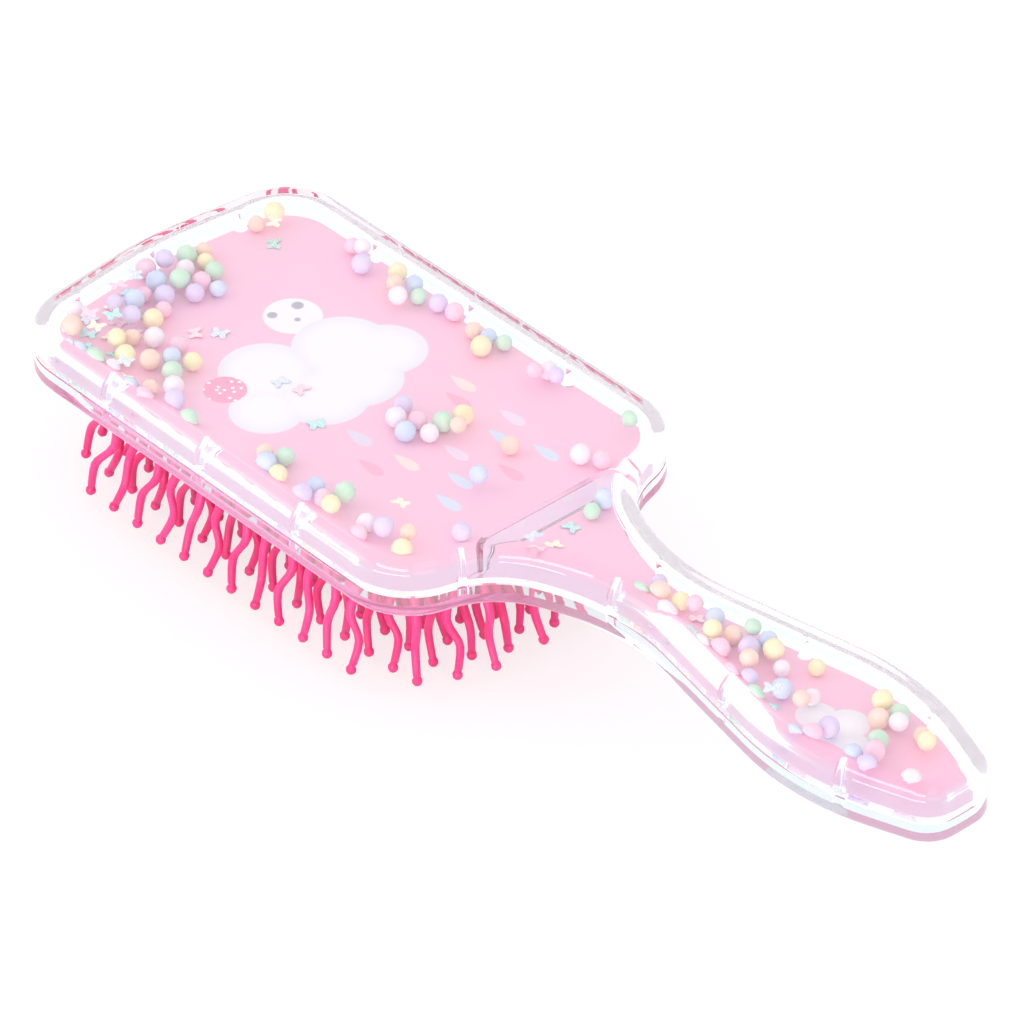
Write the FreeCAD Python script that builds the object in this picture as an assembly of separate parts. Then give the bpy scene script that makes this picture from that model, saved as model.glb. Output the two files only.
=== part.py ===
"""Paddle hairbrush with a clear two-shell case, floating foam beads and an air cushion of wavy bristles.

Millimetres. +X runs from the head to the handle's tip, +Y across the head, +Z up out of the back panel.
The origin is under the middle of the brush, on the plane that the middle bristles stand on.
"""
import FreeCAD as App
import Part
import math
import os
import random

# --- case outline (the lengths run along X, the widths across Y) ---
HEAD_LENGTH = 120.25      # from the far end to the corners beside the handle
HANDLE_LENGTH = 119.75    # from those corners to the handle's tip
HEAD_END_WIDTH = 76.6
HEAD_NECK_WIDTH = 78.8
END_SWEEP = 4.1           # the end corners lie this far behind the end's middle
END_RADIUS = 87.4
END_CORNER_RADIUS = 14.0
NECK_CORNER_RADIUS = 15.3
NECK_WIDTH = 36.0         # where the shoulders meet the handle
NECK_REACH = 5.5          # of the shoulders, past the head's corners
NECK_RADIUS = 20.5
WAIST_WIDTH = 12.6        # of the corners that the waist's long curves round off
WAIST_REACH = 29.0
WAIST_RADIUS = 52.5
GRIP_WIDTH = 37.2         # of the corners that the grip's long curves round off
GRIP_TO_TIP = 28.9
GRIP_RADIUS = 60.0
TIP_WIDTH = 16.6
TIP_RADIUS = 8.0

# --- shells ---
FRONT_DEPTH = 5.5         # bristle side, below the seam
BACK_DEPTH = 7.0          # bead side, above the seam
WALL = 3.2
PANEL = 1.5               # the back panel and the front shell's floor
LEDGE = 0.6               # the front shell's step that carries the cards
BACK_EDGE_RADIUS = 3.0
BACK_INNER_RADIUS = 2.6
FRONT_EDGE_RADIUS = 1.8
SEAM_CHAMFER = 0.25
RIB_THICKNESS = 1.4       # the thin wall round the handle's chamber, which parts the two chambers
RIB_REACH = 0.4           # from the head's corners to the rib
NECK_CHAMBER_WIDTH = 41.0 # of the handle's chamber, where it starts at the rib
NECK_CHAMBER_RADIUS = 6.0
PEG_RADIUS = 1.0
POST_RADIUS = 1.3
PEG_FROM_EDGE = 3.5       # peg centres, in from the case's side
HEAD_PEGS = (32.0, 60.6, 89.3)        # the side pegs, from the far end
HANDLE_PEGS = (28.2, 65.0)            # the handle's pegs, from the head's corners
TIP_PEGS = 21.45                      # the last pegs, from the tip
END_PEG_OFFSET = 21.7                 # the outer end pegs, from the middle line
SHOULDER_PEG_OFFSET = 22.0            # the pegs at the rib's ends, from the middle line

# --- cards and base plate ---
CARD_THICKNESS = 0.5
CARD_GAP = 0.2
PLATE_THICKNESS = 1.2
PLATE_GAP = 0.3
POST_GAP = 0.3

# --- cushion ---
CUSHION_FROM_END = 8.75   # the case's rim beyond the cushion's opening
CUSHION_FROM_NECK = 1.0
CUSHION_FROM_SIDE = 5.05
CUSHION_LENGTH = HEAD_LENGTH - CUSHION_FROM_END - CUSHION_FROM_NECK
CUSHION_WIDTH = HEAD_END_WIDTH - 2 * CUSHION_FROM_SIDE
CUSHION_CORNER_RADIUS = 20.0
CUSHION_CROWN = 4.0       # how far the cushion bulges below the case
CUSHION_SHOULDER = 14.0   # the bulge rises to its crown over this width
CUSHION_THICKNESS = 1.2
CUSHION_GAP = 0.3
CUSHION_STEPS = 6
FLANGE_WIDTH = 0.9
FLANGE_THICKNESS = 1.2
VENT_RADIUS = 1.1

# --- bristles ---
ROW_PINS = (17, 16, 17, 16, 15, 12)   # pins in the middle row and in each row outward from it
PIN_MARGIN_X = 3.4        # the outermost roots, in from the cushion's edge
PIN_MARGIN_Y = 3.75
PIN_REACH = 21.0          # from the cushion's face to the tip
PIN_ROOT_RADIUS = 1.08     # the shaft tapers from root to tip
PIN_END_RADIUS = 0.8
PIN_TIP_RADIUS = 1.12
PIN_HEAD_RADIUS = 1.65
PIN_HEAD_THICKNESS = 0.8
PIN_HEAD_GAP = 0.55
PIN_HOLE_GAP = 0.3
PIN_LEAN = 16.0           # degrees, of the outermost pins
WAVE_WIDTH = 1.15         # the shaft's bends swing this far to each side
WAVE_STATIONS = (0.12, 0.38, 0.66)    # where the bends lie, as shares of the reach
WAVE_RADIUS = 3.6

# --- foam beads and foil confetti ---
BEAD_RADII = (1.8, 2.05, 2.25)
BEAD_GAP = 0.06
BEAD_COLOURS = ("pink", "lilac", "blue", "mint", "yellow", "peach", "white")
FOIL_SPAN = 3.8           # across a butterfly's wings
FOIL_LENGTH = 2.9
FOIL_THICKNESS = 0.12
FOIL_REACH = math.hypot(FOIL_SPAN, FOIL_LENGTH) / 2
FOIL_COLOURS = ("teal", "gold", "pink", "silver")
# Heaps: place along the chamber (from the far end, or from the head's corners), place from the
# middle line, number of beads, spread
HEAD_HEAPS = (
    (6.0, -3.6, 3, 3.0), (8.0, 5.5, 4, 3.0), (10.8, -9.2, 4, 3.0), (11.9, -17.0, 5, 3.7),
    (13.3, -27.0, 5, 4.0), (15.8, 0.2, 4, 3.2), (21.6, -24.4, 5, 3.5), (29.6, -22.5, 3, 3.2),
    (36.3, -28.1, 5, 4.0), (50.3, -30.9, 1, 1.5), (5.6, 28.2, 2, 2.2), (31.0, 33.0, 3, 3.3),
    (46.6, 33.0, 5, 5.0), (58.2, 33.0, 2, 2.3), (69.2, 32.5, 4, 5.4), (86.0, 33.5, 3, 2.4),
    (71.6, -28.6, 4, 3.5), (77.5, 0.5, 4, 3.2), (84.8, 6.3, 4, 3.4), (87.3, -28.0, 5, 4.6),
    (99.0, 11.1, 1, 1.5), (99.3, -27.0, 3, 2.7), (103.3, -1.3, 1, 1.5), (109.8, 33.5, 1, 1.5),
    (110.2, -27.2, 2, 3.4), (111.2, 19.6, 2, 4.2), (113.7, -15.1, 1, 1.5),
)
HANDLE_HEAPS = (
    (3.2, 13.0, 2, 3.6), (38.2, 1.8, 7, 5.1), (50.2, -0.8, 5, 3.1), (58.0, 3.5, 5, 3.7),
    (60.8, -6.4, 4, 4.4), (71.0, 7.1, 1, 1.5), (77.5, -2.8, 2, 3.7), (86.3, -8.8, 3, 4.4),
    (92.0, 8.9, 4, 4.1), (98.4, -3.7, 4, 4.8), (102.8, 6.0, 2, 3.2), (109.3, -4.4, 1, 1.5),
)
# Confetti: the same, with pieces in place of beads
HEAD_CONFETTI = (
    (13.0, -25.0, 14, 6.5), (8.0, -14.0, 3, 4.0), (30.0, -30.0, 3, 4.0), (14.3, 23.5, 2, 4.0),
    (27.5, -9.0, 2, 2.5), (66.5, -11.4, 1, 1.5), (101.8, -20.3, 1, 1.5), (55.0, -6.0, 2, 8.0),
)
HANDLE_CONFETTI = (
    (4.8, 3.7, 1, 1.5), (6.8, -3.0, 2, 3.0), (8.0, -10.0, 1, 2.0), (46.0, -3.0, 3, 7.0),
    (73.5, -6.6, 2, 4.0),
)
CLING_SHARE = 0.3         # of the loose pieces, held up on the back panel by static
TRIES = 260               # places tried for each loose piece

# --- worked out from the sizes above ---
LENGTH = HEAD_LENGTH + HANDLE_LENGTH
END_SAG = END_RADIUS * (1 / math.sin(math.atan2(HEAD_END_WIDTH / 2, END_SWEEP)) - 1)
FAR_END = -(LENGTH + END_SAG) / 2             # the end's middle, before its long curve rounds it off
NECK_X = FAR_END + HEAD_LENGTH
RIB_X = NECK_X + RIB_REACH + RIB_THICKNESS / 2
BOTTOM_Z = CUSHION_CROWN + PIN_REACH          # the case's underside: the middle tips end at z = 0
FLOOR_Z = BOTTOM_Z + PANEL
SEAM_Z = BOTTOM_Z + FRONT_DEPTH
TOP_Z = SEAM_Z + BACK_DEPTH
CEILING_Z = TOP_Z - PANEL
CARD_Z = SEAM_Z - CARD_THICKNESS
CUSHION_X = FAR_END + CUSHION_FROM_END + CUSHION_LENGTH / 2
TOOL_MARGIN = 50.0        # cutting boxes reach this far past the case
Z_AXIS = App.Vector(0, 0, 1)


def rounded_outline(corners):
    """A closed wire round a polygon whose corners (x, y, radius) are rounded by tangent arcs."""
    count = len(corners)
    points = [App.Vector(x, y, 0) for x, y, _ in corners]
    sides = [(points[(i + 1) % count] - points[i]).Length for i in range(count)]
    halves = []
    for i in range(count):
        back, ahead = points[i - 1] - points[i], points[(i + 1) % count] - points[i]
        halves.append(back.getAngle(ahead) / 2)
    reaches = [corner[2] / math.tan(half) for corner, half in zip(corners, halves)]
    shares = [min(1.0, 0.998 * sides[i] / (reaches[i] + reaches[(i + 1) % count])) for i in range(count)]
    arcs = []
    for i in range(count):
        back = (points[i - 1] - points[i]).normalize()
        ahead = (points[(i + 1) % count] - points[i]).normalize()
        reach = reaches[i] * min(shares[i - 1], shares[i])
        radius = reach * math.tan(halves[i])
        inward = (back + ahead).normalize() * (radius / math.sin(halves[i]) - radius)
        arcs.append((points[i] + back * reach, points[i] + inward, points[i] + ahead * reach))
    edges = []
    for i, (start, middle, end) in enumerate(arcs):
        edges.append(Part.Arc(start, middle, end).toShape())
        edges.append(Part.makeLine(end, arcs[(i + 1) % count][0]))
    return Part.Wire(edges)


def case_outline():
    """The case's outline, seen from above."""
    head, neck = HEAD_LENGTH, NECK_REACH + HEAD_LENGTH
    half = (
        (END_SWEEP, HEAD_END_WIDTH / 2, END_CORNER_RADIUS),
        (head, HEAD_NECK_WIDTH / 2, NECK_CORNER_RADIUS),
        (neck, NECK_WIDTH / 2, NECK_RADIUS),
        (head + WAIST_REACH, WAIST_WIDTH / 2, WAIST_RADIUS),
        (LENGTH - GRIP_TO_TIP, GRIP_WIDTH / 2, GRIP_RADIUS),
        (LENGTH, TIP_WIDTH / 2, TIP_RADIUS),
    )
    far_side = [(x, y, radius) for x, y, radius in half]
    near_side = [(x, -y, radius) for x, y, radius in reversed(half)]
    corners = [(0.0, 0.0, END_RADIUS)] + far_side + near_side
    return rounded_outline([(FAR_END + x, y, radius) for x, y, radius in corners])


def cushion_outline(inset=0.0):
    """The cushion opening's outline, drawn in by inset."""
    length, width = CUSHION_LENGTH / 2 - inset, CUSHION_WIDTH / 2 - inset
    radius = CUSHION_CORNER_RADIUS - inset
    signs = ((-1, -1), (1, -1), (1, 1), (-1, 1))
    return rounded_outline([(CUSHION_X + sx * length, sy * width, radius) for sx, sy in signs])


def slab(wire, low, high, inset=0.0):
    """A solid of the wire's shape, drawn in by inset, between two heights."""
    if inset:
        wire = wire.makeOffset2D(-inset)
    face = Part.Face(wire)
    face.translate(App.Vector(0, 0, low))
    return face.extrude(App.Vector(0, 0, high - low))


def rim_edges(solid, height):
    """The edges of a solid that lie flat at a height."""
    boxes = [(edge, edge.BoundBox) for edge in solid.Edges]
    return [edge for edge, box in boxes if max(abs(box.ZMin - height), abs(box.ZMax - height)) < 1e-4]


def cylinder(x, y, radius, low, high):
    """An upright cylinder."""
    return Part.makeCylinder(radius, high - low, App.Vector(x, y, low), Z_AXIS)


def between(low_x, high_x):
    """A tall box over everything between two places along the brush."""
    width = HEAD_NECK_WIDTH + HEAD_END_WIDTH
    corner = App.Vector(low_x, -width / 2, -TOOL_MARGIN)
    return Part.makeBox(high_x - low_x, width, TOP_Z + 2 * TOOL_MARGIN, corner)


def outline_crossing(outline, start, end):
    """Where a line between two points crosses the outline."""
    line = Part.makeLine(App.Vector(*start, 0), App.Vector(*end, 0))
    return outline.section(line).Vertexes[0].Point


def peg_places(outline):
    """Where the back shell's pegs meet the front shell's posts."""
    reach = LENGTH + HEAD_END_WIDTH
    places = []
    for side in (-1, 0, 1):
        y = side * END_PEG_OFFSET
        edge = outline_crossing(outline, (-reach, y), (FAR_END + HEAD_LENGTH / 2, y))
        places.append((edge.x + PEG_FROM_EDGE, y))
    along = [FAR_END + x for x in HEAD_PEGS] + [NECK_X + x for x in HANDLE_PEGS]
    along.append(FAR_END + LENGTH - TIP_PEGS)
    for side in (-1, 1):
        places.append((RIB_X, side * SHOULDER_PEG_OFFSET))
        for x in along:
            edge = outline_crossing(outline, (x, 0), (x, side * reach))
            places.append((x, edge.y - side * PEG_FROM_EDGE))
    return places


def back_shell(outline, pegs):
    """The clear tray on the bead side, with its pegs and the rib across the neck."""
    shell = slab(outline, SEAM_Z, TOP_Z)
    shell = shell.makeFillet(BACK_EDGE_RADIUS, rim_edges(shell, TOP_Z))
    shell = shell.makeChamfer(SEAM_CHAMFER, rim_edges(shell, SEAM_Z))
    hollow = slab(outline, SEAM_Z - 1, CEILING_Z, WALL)
    hollow = hollow.makeFillet(BACK_INNER_RADIUS, rim_edges(hollow, CEILING_Z))
    shell = shell.cut(hollow)
    tip_x, rib_low = FAR_END + LENGTH, RIB_X - RIB_THICKNESS / 2
    chamber = rounded_outline([
        (tip_x, -NECK_CHAMBER_WIDTH / 2, NECK_CHAMBER_RADIUS),
        (tip_x, NECK_CHAMBER_WIDTH / 2, NECK_CHAMBER_RADIUS),
        (rib_low + RIB_THICKNESS, NECK_CHAMBER_WIDTH / 2, NECK_CHAMBER_RADIUS),
        (rib_low + RIB_THICKNESS, -NECK_CHAMBER_WIDTH / 2, NECK_CHAMBER_RADIUS),
    ])
    root_z = CEILING_Z + PANEL / 2
    rib = slab(chamber, SEAM_Z, root_z, -RIB_THICKNESS).cut(slab(chamber, SEAM_Z - 1, TOP_Z))
    rib = rib.common(slab(outline, SEAM_Z - 1, TOP_Z, WALL / 2))
    rib = rib.common(between(rib_low - RIB_THICKNESS, NECK_X + WAIST_REACH))
    shell = shell.fuse([rib] + [cylinder(x, y, PEG_RADIUS, SEAM_Z, root_z) for x, y in pegs])
    return shell.removeSplitter()


def front_shell(outline, pegs):
    """The clear tray on the bristle side, with its card ledge, its posts and the cushion's opening."""
    shell = slab(outline, BOTTOM_Z, SEAM_Z)
    shell = shell.makeFillet(FRONT_EDGE_RADIUS, rim_edges(shell, BOTTOM_Z))
    shell = shell.makeChamfer(SEAM_CHAMFER, rim_edges(shell, SEAM_Z))
    shell = shell.cut(slab(outline, FLOOR_Z, SEAM_Z + 1, WALL + LEDGE))
    shell = shell.cut(slab(outline, CARD_Z, SEAM_Z + 1, WALL))
    shell = shell.fuse([cylinder(x, y, POST_RADIUS, FLOOR_Z - PANEL / 2, SEAM_Z) for x, y in pegs])
    shell = shell.cut(slab(cushion_outline(), BOTTOM_Z - 1, FLOOR_Z + 1))
    return shell.removeSplitter()


def posts_clear(shape, pegs, low, high):
    """The shape with a notch round each post."""
    gap = POST_RADIUS + POST_GAP
    return shape.cut([cylinder(x, y, gap, low - 1, high + 1) for x, y in pegs])


def base_plate(outline, pegs):
    """The plate that closes the air chamber and clamps the cushion's flange with its rim."""
    low, high = CARD_Z - PLATE_THICKNESS, CARD_Z
    plate = slab(outline, low, high, WALL + LEDGE + PLATE_GAP)
    plate = plate.common(between(FAR_END, NECK_X + NECK_REACH / 2))
    flange_top = FLOOR_Z + FLANGE_THICKNESS
    rim = slab(cushion_outline(-FLANGE_WIDTH), flange_top, low)
    rim = rim.cut(slab(cushion_outline(), flange_top - 1, low))
    return posts_clear(plate.fuse(rim).removeSplitter(), pegs, flange_top, high)


def card(outline, pegs, low_x, high_x):
    """A printed card that lies on the front shell's ledge."""
    sheet = slab(outline, CARD_Z, SEAM_Z, WALL + CARD_GAP).common(between(low_x, high_x))
    return posts_clear(sheet, pegs, CARD_Z, SEAM_Z)


def crown(x, y):
    """How far the cushion bulges below the case at a place on it."""
    corner = CUSHION_CORNER_RADIUS
    dx = abs(x - CUSHION_X) - (CUSHION_LENGTH / 2 - corner)
    dy = abs(y) - (CUSHION_WIDTH / 2 - corner)
    inset = corner - math.hypot(max(dx, 0), max(dy, 0)) - min(max(dx, dy), 0) - CUSHION_GAP
    share = min(inset / CUSHION_SHOULDER, 1.0)
    return CUSHION_CROWN * math.sqrt(1 - (1 - share) ** 2)


def dome(thickness):
    """A closed bulge with a quarter ellipse's section, a thickness inside the cushion's outer face."""
    rings = []
    for step in range(CUSHION_STEPS + 1):
        angle = math.pi / 2 * step / CUSHION_STEPS
        across, down = CUSHION_SHOULDER * math.sin(angle), CUSHION_CROWN * math.cos(angle)
        inward = App.Vector(down, across).normalize() * thickness
        ring = cushion_outline(CUSHION_GAP + CUSHION_SHOULDER * (1 - math.cos(angle)) + inward.x)
        ring.translate(App.Vector(0, 0, BOTTOM_Z - CUSHION_CROWN * math.sin(angle) + inward.y))
        rings.append(ring)
    steps = [Part.makeLoft([upper, lower], True, True) for upper, lower in zip(rings, rings[1:])]
    collar = slab(cushion_outline(CUSHION_GAP + thickness), BOTTOM_Z, FLOOR_Z + FLANGE_THICKNESS)
    return collar.fuse(steps).removeSplitter()


def pin_axis(x, y):
    """The unit vector that a pin at this root points along, from root to tip."""
    most = math.sin(math.radians(PIN_LEAN))
    half_length = CUSHION_LENGTH / 2 - PIN_MARGIN_X
    half_width = CUSHION_WIDTH / 2 - PIN_MARGIN_Y
    along = most * (x - CUSHION_X) / half_length
    across = most * math.copysign((y / half_width) ** 2, y)
    return App.Vector(along, across, -math.sqrt(1 - along ** 2 - across ** 2))


def pin_rows():
    """The bristle rows, one list of root points for each row, from the near side to the far side."""
    outer = len(ROW_PINS) - 1
    pitch_x = (CUSHION_LENGTH - 2 * PIN_MARGIN_X) / (max(ROW_PINS) - 1)
    pitch_y = (CUSHION_WIDTH / 2 - PIN_MARGIN_Y) / outer
    rows = []
    for row in range(-outer, outer + 1):
        pins = ROW_PINS[abs(row)]
        y = row * pitch_y
        xs = [CUSHION_X + (i - (pins - 1) / 2) * pitch_x for i in range(pins)]
        rows.append([App.Vector(x, y, BOTTOM_Z - crown(x, y)) for x in xs])
    return rows


def cushion_pad(rows, pegs):
    """The rubber cushion: a hollow dome with a clamped flange, pin holes and a vent."""
    flange = slab(cushion_outline(-FLANGE_WIDTH), FLOOR_Z, FLOOR_Z + FLANGE_THICKNESS)
    flange = posts_clear(flange, pegs, FLOOR_Z, FLOOR_Z + FLANGE_THICKNESS)
    pad = dome(0.0).fuse(flange).cut(dome(CUSHION_THICKNESS))
    depth = 2 * CUSHION_CROWN + PIN_HEAD_THICKNESS
    holes = []
    for root in [point for row in rows for point in row]:
        axis = pin_axis(root.x, root.y)
        holes.append(Part.makeCylinder(PIN_ROOT_RADIUS + PIN_HOLE_GAP, depth, root - axis * depth / 2, axis))
    middle = rows[len(rows) // 2]
    vent_x = (middle[len(middle) // 2].x + middle[len(middle) // 2 + 1].x) / 2
    vent = cylinder(vent_x, 0.0, VENT_RADIUS, BOTTOM_Z - 2 * CUSHION_CROWN, BOTTOM_Z)
    return pad.cut(holes + [vent]).removeSplitter()


def bristle():
    """One bristle, root at the origin and tip along -Z: a head disc, a bent, tapered shaft and a ball."""
    tip_z = -(PIN_REACH - PIN_TIP_RADIUS)
    head_z = CUSHION_THICKNESS + PIN_HEAD_GAP
    swings = (0.0, WAVE_WIDTH, -WAVE_WIDTH)
    bends = [(x, -share * PIN_REACH) for x, share in zip(swings, WAVE_STATIONS)]
    points = [App.Vector(x, 0, z) for x, z in [(0.0, head_z), *bends, (0.0, tip_z)]]
    edges = []
    last = points[0]
    for before, here, after in zip(points, points[1:], points[2:]):
        back, ahead = (before - here).normalize(), (after - here).normalize()
        half = back.getAngle(ahead) / 2
        reach = WAVE_RADIUS / math.tan(half)
        inward = (back + ahead).normalize() * (WAVE_RADIUS / math.sin(half) - WAVE_RADIUS)
        edges.append(Part.makeLine(last, here + back * reach))
        edges.append(Part.Arc(here + back * reach, here + inward, here + ahead * reach).toShape())
        last = here + ahead * reach
    edges.append(Part.makeLine(last, points[-1]))
    root = Part.Wire(Part.makeCircle(PIN_ROOT_RADIUS, points[0], Z_AXIS))
    end = Part.Wire(Part.makeCircle(PIN_END_RADIUS, points[-1], last - points[-1]))
    shaft = Part.Wire(edges).makePipeShell([root, end], True, True)
    head = Part.makeCylinder(PIN_HEAD_RADIUS, PIN_HEAD_THICKNESS, App.Vector(0, 0, head_z), Z_AXIS)
    ball = Part.makeSphere(PIN_TIP_RADIUS, App.Vector(0, 0, tip_z))
    return shaft.fuse([head, ball]).removeSplitter()


def bristle_row(pin, roots, row):
    """One lengthwise row of bristles, each leaning outward and turned a little from its neighbour."""
    pins = []
    for number, root in enumerate(roots):
        axis = pin_axis(root.x, root.y)
        turn = 180.0 * (number % 2) + 35.0 * math.sin(2.3 * number + 1.7 * row)
        lean = App.Rotation(App.Vector(0, 0, -1), axis)
        spin = App.Rotation(Z_AXIS, turn)
        copy = pin.copy()
        copy.Placement = App.Placement(root, lean.multiply(spin))
        pins.append(copy)
    return Part.makeCompound(pins)


class LooseFill:
    """Finds room for loose pieces in one bead chamber, clear of its walls, pegs and each other."""

    def __init__(self, outline, pegs, low_x, high_x, start_x, seed):
        reach = BEAD_RADII[-1] + BEAD_GAP
        self.bead_rooms = self.rooms(outline, low_x, high_x, reach, max(reach, BACK_INNER_RADIUS + BEAD_GAP))
        self.foil_rooms = self.rooms(outline, low_x, high_x, FOIL_REACH, FOIL_REACH + BACK_INNER_RADIUS)
        self.start_x = start_x
        self.pegs = pegs
        self.random = random.Random(seed)
        self.beads = []
        self.foils = []

    @staticmethod
    def rooms(outline, low_x, high_x, floor_reach, ceiling_reach):
        """The places that lie far enough inside the chamber's walls, on the card and under the back panel."""
        rooms = []
        for reach in (floor_reach, ceiling_reach):
            room = slab(outline, SEAM_Z, SEAM_Z + 1, WALL + reach)
            inset = RIB_THICKNESS / 2 + reach
            rooms.append(room.common(between(low_x + inset, high_x - inset)))
        return rooms

    def bead_fits(self, x, y, clings, radius):
        """Whether a bead has room here. A bead may lie over a part of a foil's square."""
        if any(math.hypot(x - px, y - py) < radius + PEG_RADIUS + BEAD_GAP for px, py in self.pegs):
            return False
        z = self.bead_height(clings, radius)
        for bx, by, other_clings, other in self.beads:
            apart = math.dist((x, y, z), (bx, by, self.bead_height(other_clings, other)))
            if apart < radius + other + BEAD_GAP:
                return False
        for fx, fy, other_clings, _, _ in self.foils:
            if clings == other_clings and math.hypot(x - fx, y - fy) < FOIL_REACH + 0.6 * radius:
                return False
        return self.bead_rooms[clings].isInside(App.Vector(x, y, SEAM_Z + 0.5), 1e-4, True)

    def foil_fits(self, x, y, clings):
        """Whether a foil has room here. Foils are placed before the beads."""
        if any(math.hypot(x - px, y - py) < FOIL_REACH + PEG_RADIUS for px, py in self.pegs):
            return False
        for fx, fy, other_clings, _, _ in self.foils:
            if clings == other_clings and math.hypot(x - fx, y - fy) < 2 * FOIL_REACH:
                return False
        return self.foil_rooms[clings].isInside(App.Vector(x, y, SEAM_Z + 0.5), 1e-4, True)

    @staticmethod
    def bead_height(clings, radius):
        """The height of a bead's middle, on the card or under the back panel."""
        return CEILING_Z - BEAD_GAP - radius if clings else SEAM_Z + BEAD_GAP + radius

    def nearest_room(self, x, y, spread, fits, *size):
        """The free place nearest a heap's middle, of those tried over wider and wider circles."""
        for wider in (1.0, 2.0, 4.0):
            found = None
            for _ in range(TRIES):
                place = (self.random.gauss(x, wider * spread), self.random.gauss(y, wider * spread))
                distance = math.dist(place, (x, y))
                if (found is None or distance < found[0]) and fits(*place, *size):
                    found = (distance, place)
            if found:
                return found[1]
        return None

    def add_beads(self, heaps):
        """Heaps of beads, most on the card and some held to the back panel by static."""
        for x, y, count, spread in heaps:
            for _ in range(count):
                size = (self.random.random() < CLING_SHARE, self.random.choice(BEAD_RADII))
                place = self.nearest_room(self.start_x + x, y, spread, self.bead_fits, *size)
                if place:
                    self.beads.append((*place, *size))

    def add_foils(self, groups):
        """Groups of confetti, most on the card and some held to the back panel by static."""
        for x, y, count, spread in groups:
            for _ in range(count):
                clings = self.random.random() < CLING_SHARE
                place = self.nearest_room(self.start_x + x, y, spread, self.foil_fits, clings)
                if place:
                    turn, tip = self.random.uniform(0, 360), self.random.uniform(2, 9)
                    self.foils.append((*place, clings, turn, tip))


def butterfly():
    """One foil butterfly, flat on z = 0 and centred on the origin."""
    half, tall = FOIL_SPAN / 2, FOIL_LENGTH / 2
    right_wing = (
        (0.0, 0.35), (0.55, 1.0), (1.0, 0.85), (0.7, 0.05), (0.85, -0.8), (0.4, -1.0), (0.0, -0.4),
    )
    right = [App.Vector(x * half, y * tall, 0) for x, y in right_wing]
    left = [App.Vector(-point.x, point.y, 0) for point in reversed(right[1:-1])]
    return Part.Face(Part.makePolygon(right + left + [right[0]])).extrude(App.Vector(0, 0, FOIL_THICKNESS))


def confetti(places):
    """Foil butterflies at their places, each turned and tipped a little."""
    pieces = []
    for x, y, clings, turn, tip in places:
        piece = butterfly()
        piece.Placement = App.Placement(App.Vector(), App.Rotation(turn, 0.0, tip))
        box = piece.BoundBox
        z = CEILING_Z - BEAD_GAP - box.ZMax if clings else SEAM_Z + BEAD_GAP - box.ZMin
        piece.translate(App.Vector(x, y, z))
        pieces.append(piece)
    return Part.makeCompound(pieces)


def main():
    """Builds every node and writes its STEP file."""
    outline = case_outline()
    pegs = peg_places(outline)
    tip_x = FAR_END + LENGTH
    rows = pin_rows()
    nodes = {
        "back_shell": back_shell(outline, pegs),
        "front_shell": front_shell(outline, pegs),
        "base_plate": base_plate(outline, pegs),
        "head_card": card(outline, pegs, FAR_END, RIB_X - CARD_GAP / 2),
        "handle_card": card(outline, pegs, RIB_X + CARD_GAP / 2, tip_x),
        "cushion_pad": cushion_pad(rows, pegs),
    }
    pin = bristle()
    for number, roots in enumerate(rows, start=1):
        nodes[f"bristle_row_{number:02d}"] = bristle_row(pin, roots, number)

    head = LooseFill(outline, pegs, FAR_END, RIB_X, start_x=FAR_END, seed=11)
    handle = LooseFill(outline, pegs, RIB_X, tip_x, start_x=NECK_X, seed=5)
    head.add_foils(HEAD_CONFETTI)
    handle.add_foils(HANDLE_CONFETTI)
    head.add_beads(HEAD_HEAPS)
    handle.add_beads(HANDLE_HEAPS)
    beads = head.beads + handle.beads
    foils = head.foils + handle.foils
    for number, colour in enumerate(BEAD_COLOURS):
        balls = []
        for x, y, clings, radius in beads[number::len(BEAD_COLOURS)]:
            balls.append(Part.makeSphere(radius, App.Vector(x, y, LooseFill.bead_height(clings, radius))))
        nodes[f"beads_{colour}"] = Part.makeCompound(balls)
    for number, colour in enumerate(FOIL_COLOURS):
        nodes[f"confetti_{colour}"] = confetti(foils[number::len(FOIL_COLOURS)])

    os.makedirs("parts", exist_ok=True)
    for name, shape in nodes.items():
        shape.exportStep(f"parts/{name}.step")
        solids = shape.Solids
        volume = sum(solid.Volume for solid in solids)
        print(f"{name}: {len(solids)} solids, valid {shape.isValid()}, {volume:.1f} mm3")


main()
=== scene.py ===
"""Clear paddle hairbrush: a two-shell case of foam beads and foil confetti over a printed card, and an air
cushion of wavy bristles. Lengths are metres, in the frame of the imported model."""
import sys
import logging
import math
import random
from collections.abc import Iterator, Mapping, Sequence
from dataclasses import dataclass, field
from enum import Enum

import bmesh
import bpy
from mathutils import Euler, Matrix, Quaternion, Vector


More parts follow.
